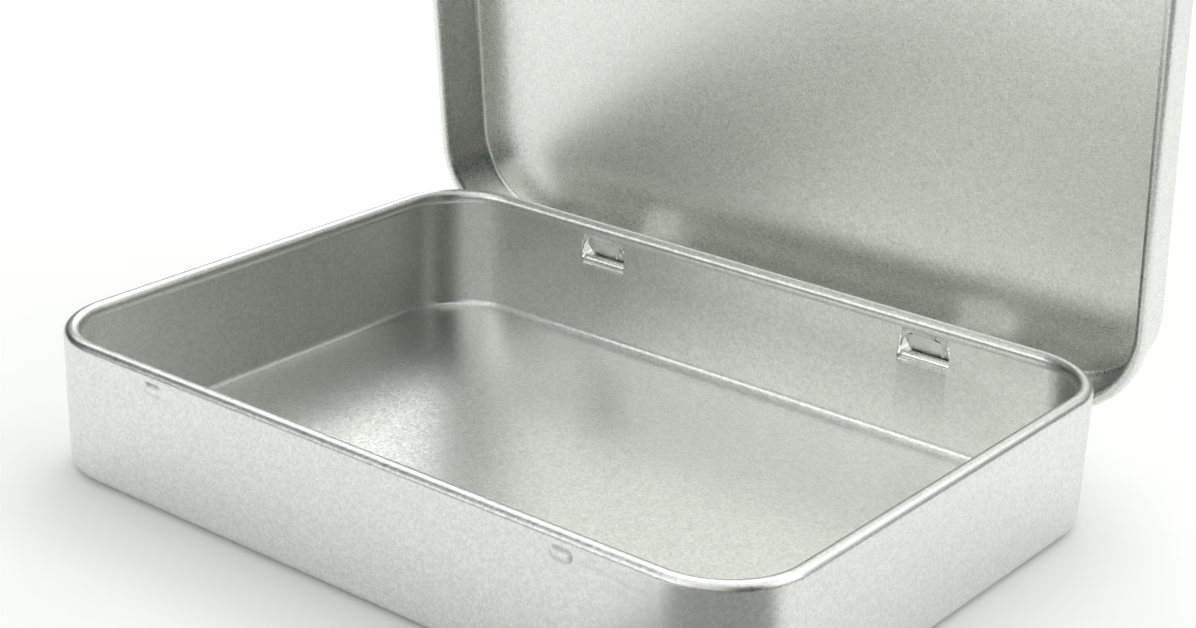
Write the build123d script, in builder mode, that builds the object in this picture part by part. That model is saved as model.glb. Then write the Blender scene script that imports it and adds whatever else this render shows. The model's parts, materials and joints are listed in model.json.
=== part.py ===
from build123d import *

import os
from math import cos, radians, sin, tan

# Hinged pocket tin of drawn tinplate: a seamless tray with its rim rolled inwards, and a shallow
# lid with its edge rolled outwards. The two pieces hook into each other at two hinges in the back
# wall, with no separate pin: a tongue pressed out of the tray's wall loops round a barrel that is
# curled into the lid's edge. The origin is the centre of the tray's underside, +X runs along the
# long side, +Y points to the hinges and +Z up. All lengths are in millimetres, angles in degrees.

sheet = 0.25
overrun = 1.0

# The tray
base_length = 114.5
base_width = 84.0
base_height = 19.5
corner_radius = 11.8
floor_radius = 1.1
rim_diameter = 2.2
rim_turn_angle = 290
rim_flat_count = 15
bend_flat_count = 4

# The lid and how it sits on the tray
side_gap = 0.5
seat_gap = 0.15
lid_depth = 8.6
panel_radius = 1.0
hem_diameter = 1.8
hem_turn_angle = 255
hem_flat_count = 13

# The latch: two bumps on the tray's front wall and one long groove in the lid's front skirt
bump_spacing = 65.5
bump_length = 3.4
bump_height = 1.9
bump_rise = 0.22
bump_drop = 2.4
bump_slope_angle = 55
groove_length = 75.0
groove_height = 1.5
groove_depth = 0.12
groove_drop = 3.4
groove_slope_angle = 60

# The two hinges
hinge_spacing = 55.5
hinge_setback = 1.15
barrel_diameter = 1.6
running_clearance = 0.08
side_clearance = 0.3
neck_width = 0.6
relief_width = 0.6
slot_length = 8.1
slot_top_drop = 5.1
plate_length = 6.9
plate_top_drop = 2.1
plate_lean_angle = 16
slot_shoulder = 1.3
tongue_width = 6.2
tongue_lean_angle = 35
tongue_end_angle = -100
arch_corner = 1.4
shear_gap = 0.1
lip_bend = 0.15

# The pose: the lid stands open as photographed, and its hem meets the wall at the stop angle
open_angle = 84
stop_angle = 110
stop_clearance = 0.02
right_angle = 90

rim_radius = rim_diameter / 2
hem_radius = hem_diameter / 2
barrel_radius = barrel_diameter / 2
half_length = base_length / 2
half_width = base_width / 2
rim_z = base_height - rim_radius

lid_top_z = base_height + seat_gap + sheet
skirt_half_length = half_length + side_gap + sheet
skirt_half_width = half_width + side_gap + sheet
skirt_corner = corner_radius + side_gap + sheet
hem_z = lid_top_z - lid_depth + hem_radius

# The hem roll swings towards the tray's wall as the lid opens. The pivot lies above the middle of
# the roll by just the height that lets the roll meet the wall at the stop angle.
wall_to_roll = hinge_setback - hem_radius
stop_cos = cos(radians(stop_angle))
stop_sin = sin(radians(stop_angle))
pivot_rise = (wall_to_roll * (1 - stop_cos) + side_gap * stop_cos - stop_clearance) / stop_sin
hinge_y = half_width + hinge_setback
hinge_z = hem_z + pivot_rise

# The plate leans inwards over the slot. The tongue leaves it, leans out and wraps the barrel, so
# each of the tongue's two faces lies at its own distance from the pivot.
loop_inner = barrel_radius + running_clearance
loop_outer = loop_inner + sheet
plate_slope = tan(radians(plate_lean_angle))
lean_cos = cos(radians(tongue_lean_angle))
lean_sin = sin(radians(tongue_lean_angle))
slot_top_z = base_height - slot_top_drop
plate_top_z = base_height - plate_top_drop


def tongue_face_z(distance, y):
    """Height, at depth y, of the tongue's leaning face that lies this far from the pivot."""
    return hinge_z + (distance + (hinge_y - y) * lean_cos) / lean_sin


def tongue_root(distance, wall_y):
    """Depth and height where a face of the tongue leaves the plate's face that begins at wall_y."""
    level_z = tongue_face_z(distance, wall_y)
    drop = (plate_top_z - level_z) / (1 + plate_slope * lean_cos / lean_sin)
    return (wall_y - drop * plate_slope, plate_top_z - drop)


inner_root = tongue_root(loop_inner, half_width - sheet)
outer_root = tongue_root(loop_outer, half_width)
lip_centre_z = hinge_z - barrel_radius
window_half = tongue_width / 2 + side_clearance
barrel_length = 2 * (window_half + neck_width)
window_top_z = tongue_face_z(loop_outer, half_width + side_gap) + side_clearance
hinge_places = [(-hinge_spacing / 2, 0, 0), (hinge_spacing / 2, 0, 0)]


def bend(centre, radius, start, turn, flats):
    """Points along a bend, joined by short flats that keep the mesh of the thin sheet light."""
    steps = [radians(start + turn * step / flats) for step in range(flats + 1)]
    return [(centre[0] + radius * cos(a), centre[1] + radius * sin(a)) for a in steps]


def drawn_wall(edge_half_length, edge_half_width, corner, one_side, other_side):
    """Sheet wall round a rounded rectangle. Its section lies outwards and upwards of the edge."""
    with BuildPart() as wall:
        with BuildLine() as quarter:
            front = Line((0, -edge_half_width), (edge_half_length - corner, -edge_half_width))
            turn = JernArc(
                start=front @ 1, tangent=front % 1, radius=corner, arc_size=right_angle
            )
            Line(turn @ 1, (edge_half_length, 0))
        section = Plane(origin=(0, -edge_half_width, 0), x_dir=(0, -1, 0), z_dir=(-1, 0, 0))
        with BuildSketch(section):
            with BuildLine():
                Polyline(*one_side, *reversed(other_side), close=True)
            make_face()
        sweep(path=quarter.wire())
        mirror(about=Plane.XZ)
        mirror(about=Plane.YZ)
    return wall.part


tray_sides = [
    bend((-floor_radius, floor_radius), floor_radius - inset, -right_angle, right_angle, bend_flat_count)
    + bend((-rim_radius, rim_z), rim_radius - inset, 0, rim_turn_angle, rim_flat_count)
    for inset in (0, sheet)
]
tray_wall = drawn_wall(half_length, half_width, corner_radius, *tray_sides)

lid_sides = [
    bend(
        (-panel_radius, lid_top_z - panel_radius),
        panel_radius - sheet + inset,
        right_angle,
        -right_angle,
        bend_flat_count,
    )
    + bend(
        (hem_radius - sheet, hem_z),
        hem_radius - inset,
        2 * right_angle,
        hem_turn_angle,
        hem_flat_count,
    )
    for inset in (0, sheet)
]
lid_wall = drawn_wall(skirt_half_length, skirt_half_width, skirt_corner, *lid_sides)

# The hinge tongue: an arched tab of the plate that leans out over the barrel and wraps it.
with BuildPart() as hinge_tongue:
    with BuildSketch(Plane.YZ.offset(-tongue_width / 2)):
        with BuildLine():
            wrap = tongue_end_angle - tongue_lean_angle
            near = CenterArc((hinge_y, hinge_z), loop_inner, tongue_lean_angle, wrap)
            far = CenterArc((hinge_y, hinge_z), loop_outer, tongue_lean_angle, wrap)
            Polyline(
                near @ 0,
                inner_root,
                (half_width - sheet, plate_top_z),
                (half_width, plate_top_z),
                outer_root,
                far @ 0,
            )
            Line(near @ 1, far @ 1)
        make_face()
    extrude(amount=tongue_width)
    with BuildSketch(Plane.XZ.offset(-hinge_y - loop_outer - overrun)):
        with BuildLine():
            tip_z = hinge_z - loop_outer - overrun
            shoulder_z = inner_root[1] - arch_corner
            left = Line((-tongue_width / 2, tip_z), (-tongue_width / 2, shoulder_z))
            right = Line((tongue_width / 2, tip_z), (tongue_width / 2, shoulder_z))
            neck_half = tongue_width / 2 - arch_corner
            left_bend = RadiusArc(left @ 1, (-neck_half, inner_root[1]), arch_corner)
            right_bend = RadiusArc(right @ 1, (neck_half, inner_root[1]), -arch_corner)
            Polyline(
                left_bend @ 1, (-neck_half, plate_top_z), (neck_half, plate_top_z), right_bend @ 1
            )
            Line(left @ 0, right @ 0)
        make_face()
    extrude(amount=base_width, mode=Mode.INTERSECT)

# The plate over each slot: cut free at its sides, leaning inwards, with the arch cut through it.
with BuildPart() as hinge_plate:
    with BuildSketch(Plane.YZ.offset(-plate_length / 2)):
        with BuildLine():
            lean = (plate_top_z - slot_top_z) * plate_slope
            Polyline(
                (half_width - sheet, plate_top_z),
                (half_width, plate_top_z),
                (half_width - lean, slot_top_z),
                (half_width - sheet - lean, slot_top_z),
                close=True,
            )
        make_face()
    extrude(amount=plate_length)
    arch_top_z = inner_root[1] + shear_gap
    with BuildSketch(Plane.XZ.offset(-half_width)):
        with Locations((0, (hinge_z + arch_top_z) / 2)):
            RectangleRounded(
                tongue_width + 2 * shear_gap, arch_top_z - hinge_z, arch_corner + shear_gap
            )
    extrude(amount=base_width, mode=Mode.SUBTRACT)
    add(hinge_tongue.part)

# The tray: drawn in one piece, its rim rolled inwards, with hinge slots in the back wall.
with BuildPart() as base_tray:
    with BuildSketch():
        RectangleRounded(
            base_length - 2 * floor_radius,
            base_width - 2 * floor_radius,
            corner_radius - floor_radius,
        )
    extrude(amount=sheet)
    add(tray_wall)

    bump_z = base_height - bump_drop
    for y, mode in ((-half_width, Mode.ADD), (-half_width + sheet, Mode.SUBTRACT)):
        with BuildSketch(Plane(origin=(0, y, bump_z), x_dir=(1, 0, 0), z_dir=(0, -1, 0))):
            with Locations((-bump_spacing / 2, 0), (bump_spacing / 2, 0)):
                SlotOverall(bump_length, bump_height)
        extrude(amount=bump_rise, taper=bump_slope_angle, mode=mode)

    shoulder_top_z = slot_top_z + slot_shoulder
    plate_room = plate_length + 2 * shear_gap
    with BuildSketch(Plane.XZ.offset(-half_width)):
        with Locations(*[(x, (lip_centre_z + shoulder_top_z) / 2) for x, _, _ in hinge_places]):
            Rectangle(slot_length, shoulder_top_z - lip_centre_z)
        with Locations(*[(x, (lip_centre_z + plate_top_z) / 2) for x, _, _ in hinge_places]):
            Rectangle(plate_room, plate_top_z - lip_centre_z)
    extrude(amount=sheet, mode=Mode.SUBTRACT)
    with Locations(*hinge_places):
        add(hinge_plate.part)

    for x, _, _ in hinge_places:
        with BuildSketch(Plane.YZ.offset(x - slot_length / 2)):
            with BuildLine():
                lip_centre = (half_width + lip_bend, lip_centre_z)
                top = CenterArc(lip_centre, lip_bend + sheet, right_angle, right_angle)
                under = CenterArc(lip_centre, lip_bend, right_angle, right_angle)
                Line(top @ 0, under @ 0)
                Line(top @ 1, under @ 1)
            make_face()
        extrude(amount=slot_length)
base_tray.part.label = "base_tray"

# The lid, drawn shut: a shallow cover with its edge rolled outwards and two hinge barrels.
with BuildPart() as lid:
    with BuildSketch(Plane.XY.offset(lid_top_z - sheet)):
        RectangleRounded(
            2 * (skirt_half_length - panel_radius),
            2 * (skirt_half_width - panel_radius),
            skirt_corner - panel_radius,
        )
    extrude(amount=sheet)
    add(lid_wall)

    groove_z = lid_top_z - groove_drop
    for y, mode in ((-skirt_half_width, Mode.SUBTRACT), (-skirt_half_width + sheet, Mode.ADD)):
        with BuildSketch(Plane(origin=(0, y, groove_z), x_dir=(1, 0, 0), z_dir=(0, 1, 0))):
            SlotOverall(groove_length, groove_height)
        extrude(amount=groove_depth, taper=groove_slope_angle, mode=mode)

    relief_length = barrel_length + 2 * relief_width
    relief_floor_z = hem_z - hem_radius - overrun
    with BuildSketch(Plane.XZ.offset(-half_width - side_gap - hem_diameter - overrun)):
        with Locations(*[(x, (relief_floor_z + window_top_z) / 2) for x, _, _ in hinge_places]):
            Rectangle(relief_length, window_top_z - relief_floor_z)
    extrude(amount=hem_diameter + 2 * overrun, mode=Mode.SUBTRACT)
    with BuildSketch(Plane.XZ.offset(-skirt_half_width)):
        with Locations(*[(x, (hinge_z + window_top_z) / 2) for x, _, _ in hinge_places]):
            Rectangle(barrel_length, window_top_z - hinge_z)
            Rectangle(2 * window_half, window_top_z - hinge_z, mode=Mode.SUBTRACT)
    extrude(amount=sheet)

    for x, _, _ in hinge_places:
        with BuildSketch(Plane.YZ.offset(x - barrel_length / 2)):
            with Locations((hinge_y, hinge_z)):
                Circle(barrel_radius)
                Circle(barrel_radius - sheet, mode=Mode.SUBTRACT)
        extrude(amount=barrel_length)

pivot = Axis((0, hinge_y, hinge_z), (1, 0, 0))
opened_lid = lid.part.rotate(pivot, -open_angle)
opened_lid.label = "lid"

print("hinge axis at y", round(hinge_y, 4), "z", round(hinge_z, 4), "lid top when shut", lid_top_z)
os.makedirs("parts", exist_ok=True)
export_step(base_tray.part, "parts/base_tray.step")
export_step(opened_lid, "parts/lid.step")
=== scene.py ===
import json
from math import cos, pi, radians, sin, tan

import bmesh
import bpy
from mathutils import Matrix, Vector


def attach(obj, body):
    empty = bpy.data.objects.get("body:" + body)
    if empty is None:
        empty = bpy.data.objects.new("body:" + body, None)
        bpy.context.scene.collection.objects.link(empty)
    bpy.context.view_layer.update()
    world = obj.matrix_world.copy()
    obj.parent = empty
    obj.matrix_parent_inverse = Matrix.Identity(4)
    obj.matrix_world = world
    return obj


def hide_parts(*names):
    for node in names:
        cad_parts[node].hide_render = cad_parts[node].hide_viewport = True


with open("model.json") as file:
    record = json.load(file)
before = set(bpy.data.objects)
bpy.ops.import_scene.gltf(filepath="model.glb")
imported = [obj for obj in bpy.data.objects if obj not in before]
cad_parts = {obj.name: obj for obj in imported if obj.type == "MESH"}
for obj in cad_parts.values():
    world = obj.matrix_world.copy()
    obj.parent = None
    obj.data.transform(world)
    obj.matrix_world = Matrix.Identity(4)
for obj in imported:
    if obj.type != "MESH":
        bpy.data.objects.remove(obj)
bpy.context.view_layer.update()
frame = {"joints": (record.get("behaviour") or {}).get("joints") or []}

# Tray shell
# The tray is one piece of bare tinplate, drawn up to its walls, with its rim rolled inwards. Its
# section is one line, turned round the middles of the four corners and pulled along the straight
# sides between them. Sizes are in millimetres until both finished pieces are scaled down.
x_way, y_way, z_way = (1, 0, 0), (0, 1, 0), (0, 0, 1)
long_middle, wide_middle, corner_radius = 45.45, 30.2, 11.8
wall_y = wide_middle + corner_radius
sheet = 0.25
foot_radius, rim_radius, rim_z = 1.6, 1.1, 18.4
hinge_x = 27.75
slot_half_width, slot_foot, slot_shoulder = 4.05, 11.554, 15.7
slot_top_half_width, slot_top, lip_radius = 3.55, 17.4, 0.15
bump_x, bump_half_width, bump_corner = 32.75, 1.7, 0.85
bump_foot, bump_z, bump_top = 16.15, 17.1, 18.05


def start_point(name, place):
    """A new object in edit mode with one selected point at this place."""
    bpy.ops.object.select_all(action="DESELECT")
    bpy.ops.mesh.primitive_plane_add(size=2)
    made = bpy.context.active_object
    made.name = name
    bpy.ops.object.mode_set(mode="EDIT")
    bpy.ops.mesh.select_mode(type="VERT")
    bpy.ops.mesh.merge(type="CENTER")
    bpy.ops.transform.translate(value=place)
    return made


def pull(x=0, y=0, z=0):
    """Extrudes what is selected by this much."""
    bpy.ops.mesh.extrude_region_move(TRANSFORM_OT_translate={"value": (x, y, z)})


def curl(steps, degrees, centre, axis):
    """Extrudes what is selected round an axis, against the right-hand rule."""
    bpy.ops.mesh.spin(steps=steps, angle=radians(degrees), center=centre, axis=axis)


def pick(made, kind, wanted):
    """Selects the vertices, edges or faces whose middle passes the test, and nothing else."""
    bpy.ops.mesh.select_mode(type={"verts": "VERT", "edges": "EDGE", "faces": "FACE"}[kind])
    bpy.ops.mesh.select_all(action="DESELECT")
    mesh = bmesh.from_edit_mesh(made.data)
    for part in getattr(mesh, kind):
        corners = [part] if kind == "verts" else part.verts
        middle = sum((corner.co for corner in corners), Vector()) / len(corners)
        if wanted(middle):
            part.select_set(True)
    mesh.select_flush_mode()
    bmesh.update_edit_mesh(made.data)


def along(stops):
    """Extrudes what is selected along X from the first of these places to the last."""
    for stop, next_stop in zip(stops, stops[1:]):
        pull(x=next_stop - stop)


def round_the_box(back_stops, front_stops):
    """Sweeps the section that stands at the front right corner once round the rectangle.

    The stops are where the strips of the back and the front wall meet.
    """
    bpy.ops.mesh.select_all(action="SELECT")
    curl(16, -90, (long_middle, -wide_middle, 0), z_way)
    pull(y=2 * wide_middle)
    curl(16, -90, (long_middle, wide_middle, 0), z_way)
    along((long_middle, *back_stops, -long_middle))
    curl(16, -90, (-long_middle, wide_middle, 0), z_way)
    pull(y=-2 * wide_middle)
    curl(16, -90, (-long_middle, -wide_middle, 0), z_way)
    along((-long_middle, *front_stops, long_middle))
    bpy.ops.mesh.select_all(action="SELECT")
    bpy.ops.mesh.remove_doubles(threshold=0.002)


def beside_hinges(*gaps):
    """The places this far to both sides of both hinges, in order from +X to -X."""
    places = [side + way * gap for side in (-hinge_x, hinge_x) for way in (-1, 1) for gap in gaps]
    return sorted(places, reverse=True)


tray = start_point("tray_shell", (long_middle, foot_radius - wall_y, 0))
curl(6, 90, (long_middle, foot_radius - wall_y, foot_radius), x_way)
pull(z=rim_z - foot_radius)
curl(26, 290, (long_middle, rim_radius - wall_y, rim_z), x_way)
bump_ends = (bump_x - bump_half_width, bump_x + bump_half_width)
round_the_box(
    beside_hinges(slot_half_width, slot_top_half_width),
    (-bump_ends[1], -bump_ends[0], *bump_ends),
)
pick(tray, "edges", lambda m: m.z < 0.0001)
bpy.ops.mesh.edge_face_add()
bpy.ops.mesh.select_all(action="SELECT")
bpy.ops.mesh.normals_make_consistent(inside=False)

# Hinge slots: rows are cut across the back wall, the openings deleted and their lower lip bent.


def on_wall(place, way):
    """Whether this is on the flat of the tray's back wall (way 1) or front wall (way -1)."""
    return way * place.y > wall_y - 0.01 and foot_radius < place.z < rim_z


def cut_rows(made, on_flat, way, heights):
    """Cuts the flat of the back wall (way 1) or the front wall (way -1) level at these heights."""
    for height in heights:
        pick(made, "faces", lambda m: on_flat(m, way))
        bpy.ops.mesh.bisect(plane_co=(0, 0, height), plane_no=z_way)


def from_hinge(place):
    """How far to the side of the nearer hinge's middle this place is."""
    return abs(abs(place.x) - hinge_x)


cut_rows(tray, on_wall, 1, (slot_foot, slot_shoulder, slot_top))
pick(
    tray,
    "faces",
    lambda m: on_wall(m, 1)
    and (
        (from_hinge(m) < slot_half_width and slot_foot < m.z < slot_shoulder)
        or (from_hinge(m) < slot_top_half_width and slot_shoulder < m.z < slot_top)
    ),
)
bpy.ops.mesh.delete(type="FACE")
pick(
    tray,
    "edges",
    lambda m: on_wall(m, 1)
    and from_hinge(m) < slot_half_width
    and abs(m.z - slot_foot) < 0.001,
)
curl(3, 90, (0, wall_y + lip_radius, slot_foot), x_way)

# Latch bumps: a rectangle of the front wall gets round corners and is domed outwards. The round
# corners reach the rim and leave doubled points there, which are welded.


def round_panel(made, on_flat, x, z, corner):
    """Gives one face of the front wall round corners, and leaves only it selected."""

    def is_panel(middle):
        return on_flat(middle, -1) and abs(middle.x - x) < 0.3 and abs(middle.z - z) < 0.3

    pick(made, "faces", is_panel)
    bpy.ops.mesh.bevel(offset=corner, segments=6, affect="VERTICES")
    pick(made, "faces", is_panel)


def thicken(made):
    """Gives the open skin the sheet's thickness on the inner side."""
    bpy.ops.object.select_all(action="DESELECT")
    made.select_set(True)
    bpy.context.view_layer.objects.active = made
    wall = made.modifiers.new("sheet", "SOLIDIFY")
    wall.thickness = sheet
    wall.offset = -1
    wall.use_even_offset = True
    bpy.ops.object.modifier_apply(modifier="sheet")


cut_rows(tray, on_wall, -1, (bump_foot, bump_top))
for side in (-bump_x, bump_x):
    round_panel(tray, on_wall, side, bump_z, bump_corner)
    for width, rise in ((0.1, 0.04), (0.25, 0.088), (0.25, 0.075), (0.1, 0.017)):
        bpy.ops.mesh.inset(thickness=width, depth=rise)
bpy.ops.mesh.select_all(action="SELECT")
bpy.ops.mesh.remove_doubles(threshold=0.002)
bpy.ops.object.mode_set(mode="OBJECT")
thicken(tray)

# Hinge plates and tongues
# Cut from the tray's own sheet. Over each slot a small plate leans inwards. An arched tab of it
# leans out again, over the lid's barrel, and curls down round the barrel's back.
axis_y, axis_z = 43.15, 12.354
plate_half_width, plate_length, plate_lean = 3.45, 3.121, radians(16)
post_width, post_length, arch_half_flat = 0.25, 0.563, 1.7
arch_z = slot_top - plate_length + post_length
tongue_y, tongue_z, tongue_width = 41.708, 16.383, 6.2
tongue_lean, tongue_radius = radians(35), 1.13
tongue_corner, tongue_overlap = 1.4, 0.38
bend_y = axis_y + tongue_radius * cos(tongue_lean)
bend_z = axis_z + tongue_radius * sin(tongue_lean)


def join(main, others):
    """Makes the other pieces part of the main one."""
    bpy.ops.object.select_all(action="DESELECT")
    for piece in others:
        piece.select_set(True)
    main.select_set(True)
    bpy.context.view_layer.objects.active = main
    bpy.ops.object.join()


hinge_pieces = []
for side in (-hinge_x, hinge_x):
    plate = start_point("hinge_plate", (side - plate_half_width, wall_y, slot_top))
    pull(z=-plate_length)
    pull(x=post_width)
    pull(z=post_length)
    curl(6, -90, (side - arch_half_flat, wall_y, arch_z), y_way)
    pull(x=2 * arch_half_flat)
    curl(6, -90, (side + arch_half_flat, wall_y, arch_z), y_way)
    pull(z=-post_length)
    pull(x=post_width)
    pull(z=plate_length)
    bpy.ops.mesh.select_all(action="SELECT")
    bpy.ops.mesh.edge_face_add()
    bpy.ops.transform.rotate(
        value=plate_lean, orient_axis="X", center_override=(side, wall_y, slot_top)
    )
    hinge_pieces.append(plate)
    bpy.ops.object.mode_set(mode="OBJECT")

    tongue = start_point("hinge_tongue", (side - tongue_width / 2, tongue_y, tongue_z))
    pull(y=bend_y - tongue_y, z=bend_z - tongue_z)
    curl(14, 135, (side, axis_y, axis_z), x_way)
    bpy.ops.mesh.select_all(action="SELECT")
    pull(x=tongue_width)
    pick(tongue, "verts", lambda m: abs(m.z - tongue_z) < 0.001)
    bpy.ops.mesh.bevel(offset=tongue_corner, segments=6, affect="VERTICES")
    pick(tongue, "edges", lambda m: abs(m.z - tongue_z) < 0.001)
    pull(y=tongue_overlap * tan(plate_lean), z=tongue_overlap)
    bpy.ops.mesh.select_all(action="SELECT")
    bpy.ops.mesh.flip_normals()
    hinge_pieces.append(tongue)
    bpy.ops.object.mode_set(mode="OBJECT")

for piece in hinge_pieces:
    thicken(piece)
join(tray, hinge_pieces)

# Lid shell
# The lid is drawn from the same tinplate, its edge rolled outwards into a hem. It is modelled shut,
# in the same way as the tray, and opened last.
skirt_y, lid_top, bend_radius = 42.75, 19.9, 1.0
hem_radius, hem_z = 0.65, 12.2
window_half_width, window_top = 4.6, 15.552
neck_inner, neck_outer = 3.4, 4.0
groove_foot, groove_z, groove_top = 15.75, 16.5, 17.25
groove_end, groove_corner, groove_depth = 37.5, 0.7, 0.12


def on_skirt(place, way):
    """Whether this is on the flat of the lid's back skirt (way 1) or front skirt (way -1)."""
    return abs(way * place.y - skirt_y) < 0.05 and hem_z < place.z < lid_top - bend_radius


lid = start_point("lid_shell", (long_middle, bend_radius - skirt_y, lid_top))
curl(6, -90, (long_middle, bend_radius - skirt_y, lid_top - bend_radius), x_way)
pull(z=hem_z + bend_radius - lid_top)
curl(22, 255, (long_middle, -skirt_y - hem_radius, hem_z), x_way)
round_the_box(
    beside_hinges(window_half_width, neck_outer, neck_inner), (-groove_end, groove_end)
)
pick(lid, "edges", lambda m: m.z > lid_top - 0.0001)
bpy.ops.mesh.edge_face_add()
bpy.ops.mesh.select_all(action="SELECT")
bpy.ops.mesh.normals_make_consistent(inside=False)

# Windows for the tray's tongues: the back skirt and its hem are cleared, all but two narrow necks.
cut_rows(lid, on_skirt, 1, (axis_z, window_top))
pick(
    lid,
    "faces",
    lambda m: m.y > skirt_y - 0.05
    and from_hinge(m) < window_half_width
    and m.z < window_top
    and not (on_skirt(m, 1) and m.z > axis_z and neck_inner < from_hinge(m) < neck_outer),
)
bpy.ops.mesh.delete(type="FACE")

# Latch groove: a long round-ended panel of the front skirt is pressed inwards.
cut_rows(lid, on_skirt, -1, (groove_foot, groove_top))
round_panel(lid, on_skirt, 0, groove_z, groove_corner)
bpy.ops.mesh.inset(thickness=0.2, depth=-groove_depth)
bpy.ops.object.mode_set(mode="OBJECT")
thicken(lid)

# Two open barrels at the back carry the lid. Each hangs on the two narrow necks of its window.
barrel_radius, barrel_length = 0.8, 2 * neck_outer
barrels = []
for side in (-hinge_x, hinge_x):
    barrel_end = side - barrel_length / 2
    barrel = start_point("lid_barrel", (barrel_end, axis_y + barrel_radius, axis_z))
    curl(24, 360, (barrel_end, axis_y, axis_z), x_way)
    bpy.ops.mesh.select_all(action="SELECT")
    pull(x=barrel_length)
    bpy.ops.mesh.select_all(action="SELECT")
    bpy.ops.mesh.remove_doubles(threshold=0.002)
    bpy.ops.mesh.normals_make_consistent(inside=False)
    bpy.ops.object.mode_set(mode="OBJECT")
    thicken(barrel)
    barrels.append(barrel)
join(lid, barrels)

# The lid is turned open about the frame's joint, as far as that joint goes back to shut.
hinge = frame["joints"][0]
bpy.ops.object.mode_set(mode="EDIT")
bpy.ops.mesh.select_all(action="SELECT")
bpy.ops.transform.rotate(
    value=radians(-hinge["range_deg"][0]),
    orient_axis="X",
    center_override=[1000 * place for place in hinge["pos_m"]],
)
bpy.ops.object.mode_set(mode="OBJECT")

# Both pieces are brought from millimetres to metres and shaded smooth between their bends.
for made, name in ((tray, "tray"), (lid, "lid")):
    bpy.ops.object.select_all(action="DESELECT")
    made.select_set(True)
    bpy.context.view_layer.objects.active = made
    made.name = name
    bpy.ops.object.mode_set(mode="EDIT")
    bpy.ops.mesh.select_all(action="SELECT")
    bpy.ops.transform.resize(value=(0.001, 0.001, 0.001), center_override=(0, 0, 0))
    bpy.ops.object.mode_set(mode="OBJECT")
    bpy.ops.object.transform_apply(location=True, rotation=True, scale=True)
    bpy.ops.object.shade_smooth_by_angle(angle=radians(28))

# Tinplate
# Fine crystal grain: every small cell of the tin coat has its own shade and its own faint tilt.
grain = bpy.data.node_groups.new("tin grain", "ShaderNodeTree")
for name, kind, default in (
    ("Cell Size", "NodeSocketFloat", 0.00035),
    ("Shade Spread", "NodeSocketFloat", 0.1),
    ("Tilt", "NodeSocketFloat", 0.1),
    ("Roughness", "NodeSocketFloat", 0.3),
    ("Roughness Spread", "NodeSocketFloat", 0.1),
    ("Tint", "NodeSocketColor", (0.865, 0.87, 0.845, 1)),
):
    socket = grain.interface.new_socket(name, in_out="INPUT", socket_type=kind)
    socket.default_value = default
for name, kind in (
    ("Color", "NodeSocketColor"),
    ("Roughness", "NodeSocketFloat"),
    ("Normal", "NodeSocketVector"),
):
    grain.interface.new_socket(name, in_out="OUTPUT", socket_type=kind)


def node(tree, kind, links=None, **settings):
    """Adds a node, sets its own values and connects or fills its inputs.

    A Mix node has its two numbers in inputs 2 and 3 and its two colours in inputs 6 and 7.
    """
    made = tree.nodes.new(kind)
    for key, value in settings.items():
        setattr(made, key, value)
    for key, value in (links or {}).items():
        if isinstance(value, bpy.types.NodeSocket):
            tree.links.new(value, made.inputs[key])
        else:
            made.inputs[key].default_value = value
    return made


given = node(grain, "NodeGroupInput").outputs
place = node(grain, "ShaderNodeTexCoord").outputs["Object"]
per_metre = node(grain, "ShaderNodeMath", {0: 1.0, 1: given["Cell Size"]}, operation="DIVIDE")
cells = node(grain, "ShaderNodeTexVoronoi", {"Vector": place, "Scale": per_metre.outputs[0]})
cell_parts = node(grain, "ShaderNodeSeparateColor", {"Color": cells.outputs["Color"]}).outputs
low = node(grain, "ShaderNodeMath", {0: 1.0, 1: given["Shade Spread"]}, operation="SUBTRACT")
shade = node(
    grain,
    "ShaderNodeMapRange",
    {"Value": cell_parts[0], "To Min": low.outputs[0], "To Max": 1.0},
)
tinted = node(
    grain,
    "ShaderNodeVectorMath",
    {0: given["Tint"], "Scale": shade.outputs[0]},
    operation="SCALE",
)
centred = node(grain, "ShaderNodeMath", {0: cell_parts[1], 1: 0.5}, operation="SUBTRACT")
uneven = node(
    grain,
    "ShaderNodeMath",
    {0: centred.outputs[0], 1: given["Roughness Spread"], 2: given["Roughness"]},
    operation="MULTIPLY_ADD",
)
any_way = node(
    grain,
    "ShaderNodeVectorMath",
    {0: cells.outputs["Color"], 1: (0.5, 0.5, 0.5)},
    operation="SUBTRACT",
)
tilt = node(
    grain,
    "ShaderNodeVectorMath",
    {0: any_way.outputs[0], "Scale": given["Tilt"]},
    operation="SCALE",
)
surface = node(grain, "ShaderNodeNewGeometry").outputs["Normal"]
leaned = node(grain, "ShaderNodeVectorMath", {0: surface, 1: tilt.outputs[0]}, operation="ADD")
evened = node(grain, "ShaderNodeVectorMath", {0: leaned.outputs[0]}, operation="NORMALIZE")
node(
    grain,
    "NodeGroupOutput",
    {"Color": tinted.outputs[0], "Roughness": uneven.outputs[0], "Normal": evened.outputs[0]},
)

for made, slot, cell, spread, lean, rough in (
    (tray, "tray_tinplate", 0.0003, 0.16, 0.04, 0.33),
    (lid, "lid_tinplate", 0.00025, 0.1, 0.035, 0.29),
):
    tin = bpy.data.materials.new(slot)
    tin.use_nodes = True
    tree = tin.node_tree
    shader = tree.nodes["Principled BSDF"]
    shader.inputs["Metallic"].default_value = 1.0
    coat = node(
        tree,
        "ShaderNodeGroup",
        {"Cell Size": cell, "Shade Spread": spread, "Tilt": lean, "Roughness": rough},
        node_tree=grain,
    )
    tree.links.new(coat.outputs["Color"], shader.inputs["Base Color"])
    tree.links.new(coat.outputs["Roughness"], shader.inputs["Roughness"])
    tree.links.new(coat.outputs["Normal"], shader.inputs["Normal"])
    made.data.materials.clear()
    made.data.materials.append(tin)

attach(tray, "base")
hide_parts("base_tray")
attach(lid, "lid")
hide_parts("lid")

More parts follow.
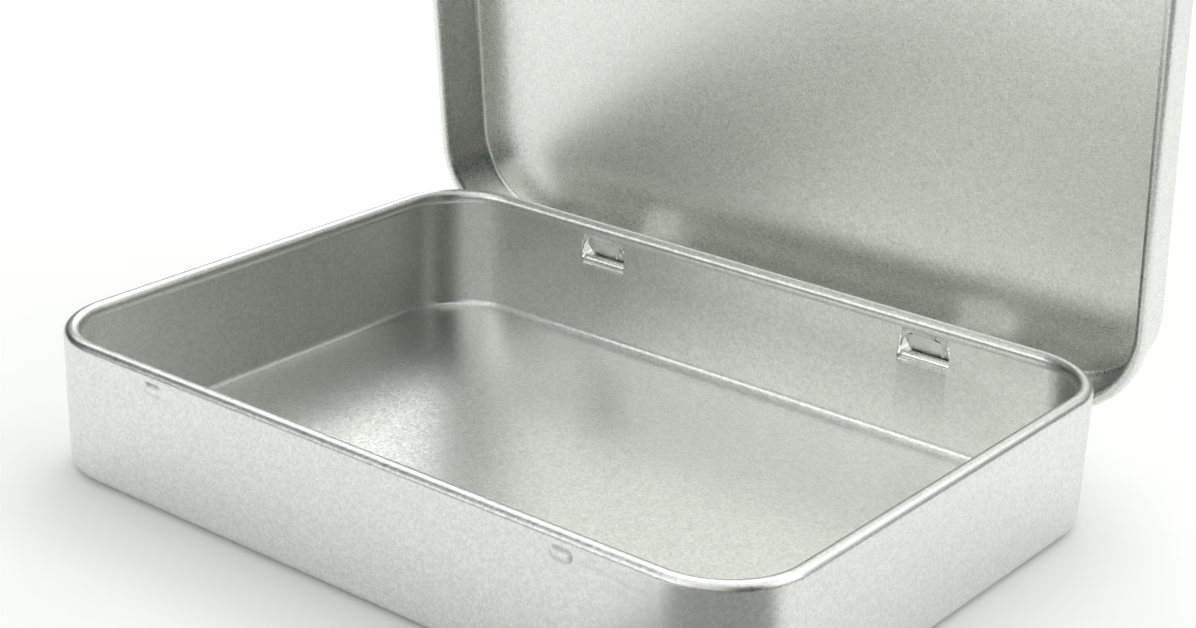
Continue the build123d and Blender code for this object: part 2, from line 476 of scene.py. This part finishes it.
# Table
# A white sheet of paper that the tin stands on. It takes the tin's shadow and is the background.
bpy.ops.object.select_all(action="DESELECT")
bpy.ops.mesh.primitive_plane_add(size=4, location=(0, 0, -0.0002))
table = bpy.context.active_object
table.name = "table"
paper = bpy.data.materials.new("white paper")
paper.use_nodes = True
paper_skin = paper.node_tree.nodes["Principled BSDF"]
paper_skin.inputs["Base Color"].default_value = (1, 1, 1, 1)
paper_skin.inputs["Roughness"].default_value = 0.8
table.data.materials.append(paper)

# A grey sheet lies to the front right as painted shade for the metal to reflect, a guess from the
# metal's tones. Only the metal shows it. The corner next to the tin fades into the white of the
# table.
bpy.ops.object.select_all(action="DESELECT")
bpy.ops.mesh.primitive_plane_add(size=1, location=(0.53, -0.53, -0.0001))
dark_reflection_sheet = bpy.context.active_object
dark_reflection_sheet.name = "dark reflection sheet"
dark_reflection_paint = bpy.data.materials.new("dark reflection sheet")
dark_reflection_paint.use_nodes = True
over = node(dark_reflection_paint.node_tree, "ShaderNodeTexCoord").outputs["Object"]
parts = node(dark_reflection_paint.node_tree, "ShaderNodeSeparateXYZ", {0: over}).outputs
inward = node(
    dark_reflection_paint.node_tree,
    "ShaderNodeMath",
    {0: parts["X"], 1: parts["Y"]},
    operation="SUBTRACT",
)
fade = node(
    dark_reflection_paint.node_tree,
    "ShaderNodeMapRange",
    {"Value": inward.outputs[0], "From Min": -1.02, "From Max": -0.94},
    interpolation_type="SMOOTHSTEP",
)
# Grey painted shade for the metal's reflections, fading to white at the corner next to the tin.
tone = node(
    dark_reflection_paint.node_tree,
    "ShaderNodeMix",
    {"Factor": fade.outputs[0], 6: (1, 1, 1, 1), 7: (0.3, 0.31, 0.3, 1)},
    data_type="RGBA",
)
skin = dark_reflection_paint.node_tree.nodes["Principled BSDF"]
dark_reflection_paint.node_tree.links.new(tone.outputs[2], skin.inputs["Base Color"])
skin.inputs["Roughness"].default_value = 0.9
dark_reflection_sheet.data.materials.append(dark_reflection_paint)
dark_reflection_sheet.visible_camera = dark_reflection_sheet.visible_diffuse = dark_reflection_sheet.visible_shadow = False

# Lamps
# The satin metal shows a room of these tones, which only the camera sees as white. They are given
# by eighths of a turn at two heights, and for the ceiling. A separate program fitted them to the
# metal's tones in the photograph, and some were then changed by hand.
world = bpy.data.worlds.new("room")
bpy.context.scene.world = world
world.use_nodes = True
room = world.node_tree
background = room.nodes["Background"]
looking = node(room, "ShaderNodeTexCoord").outputs["Generated"]
way = node(room, "ShaderNodeSeparateXYZ", {0: looking})
height = way.outputs["Z"]
bearing = node(
    room,
    "ShaderNodeMath",
    {0: way.outputs["Y"], 1: way.outputs["X"]},
    operation="ARCTAN2",
)
around = node(
    room,
    "ShaderNodeMapRange",
    {"Value": bearing.outputs[0], "From Min": -pi, "From Max": pi},
)


def ring(tones):
    """Brightness round the room at one height, in eighths of a turn from the -X side on."""
    ramp = node(room, "ShaderNodeValToRGB", {0: around.outputs[0]})
    stops = ramp.color_ramp.elements
    for eighth, tone in enumerate(tones):
        for share in (0.12, 0.88):
            stops.new((eighth + share) / 8).color = (tone, tone, tone, 1)
    meeting = (tones[0] + tones[-1]) / 2
    for end in (stops[0], stops[-1]):
        end.color = (meeting, meeting, meeting, 1)
    return ramp.outputs["Color"]


def above(lower, upper, start, end):
    """Blends from the lower part of the room to the upper one between these heights."""
    share = node(
        room,
        "ShaderNodeMapRange",
        {"Value": height, "From Min": start, "From Max": end},
        interpolation_type="SMOOTHSTEP",
    )
    mix = node(
        room,
        "ShaderNodeMix",
        {"Factor": share.outputs[0], 2: lower, 3: upper},
        data_type="FLOAT",
    )
    return mix.outputs[0]


low_walls = ring((0, 0.55, 0.25, 0, 0.48, 0.1, 0.45, 0))
high_walls = ring((0.02, 0.38, 0.24, 0, 0.48, 0.6, 0.8, 0.46))
ceiling, room_light = 0.283, 3.25
walls = above(above(0, low_walls, 0.15, 0.26), high_walls, 0.43, 0.57)
lit = node(
    room,
    "ShaderNodeMath",
    {0: above(walls, ceiling, 0.76, 0.87), 1: room_light},
    operation="MULTIPLY",
)
paint = node(
    room,
    "ShaderNodeVectorMath",
    {0: (1, 1, 0.985), "Scale": lit.outputs[0]},
    operation="SCALE",
)
gloom = node(
    room,
    "ShaderNodeVectorMath",
    {0: paint.outputs[0], 1: (0.01, 0.03, 0.014)},
    operation="ADD",
)
seen = node(room, "ShaderNodeLightPath").outputs["Is Camera Ray"]
shown = node(
    room,
    "ShaderNodeMix",
    {"Factor": seen, 6: gloom.outputs[0], 7: (1, 1, 1, 1)},
    data_type="RGBA",
)
room.links.new(shown.outputs[2], background.inputs["Color"])
background.inputs["Strength"].default_value = 1.0

# A soft lamp overhead, a little behind the tin, gives the table its light and the tin its shadow.
lamp = bpy.data.lights.new("overhead", "AREA")
lamp.shape = "SQUARE"
lamp.size = 0.8
lamp.energy = 0.7
stand = bpy.data.objects.new("overhead", lamp)
bpy.context.scene.collection.objects.link(stand)
stand.location = (-0.15, 0.15, 0.9)
tin_middle = Vector((0, 0, 0.03))
stand.rotation_euler = (tin_middle - stand.location).to_track_quat("-Z", "Y").to_euler()

# Camera
# It stands to the front right and looks down on the tin. Turn, place, lens and shift were fitted
# to the edges of the tray and the lid in the photograph.
camera_place = (0.17023, -0.2145, 0.13121)
yaw, pitch, roll = radians(38.65), radians(24.43), radians(1.69)
forward = Vector((-sin(yaw) * cos(pitch), cos(yaw) * cos(pitch), -sin(pitch)))
right = Vector((cos(yaw), sin(yaw), 0))
up = right.cross(forward)
side = right * cos(roll) + up * sin(roll)
top = up * cos(roll) - right * sin(roll)
camera_data = bpy.data.cameras.new("camera")
camera_data.sensor_width = 36
camera_data.lens = 69.19
camera_data.shift_x = 0.0312
camera_data.shift_y = 0.1027
camera_data.clip_start, camera_data.clip_end = 0.01, 20
camera = bpy.data.objects.new("camera", camera_data)
bpy.context.scene.collection.objects.link(camera)
turn = Matrix((side, top, -forward)).transposed()
camera.matrix_world = Matrix.Translation(camera_place) @ turn.to_4x4()
bpy.context.scene.camera = camera
bpy.context.scene.view_settings.view_transform = "Standard"
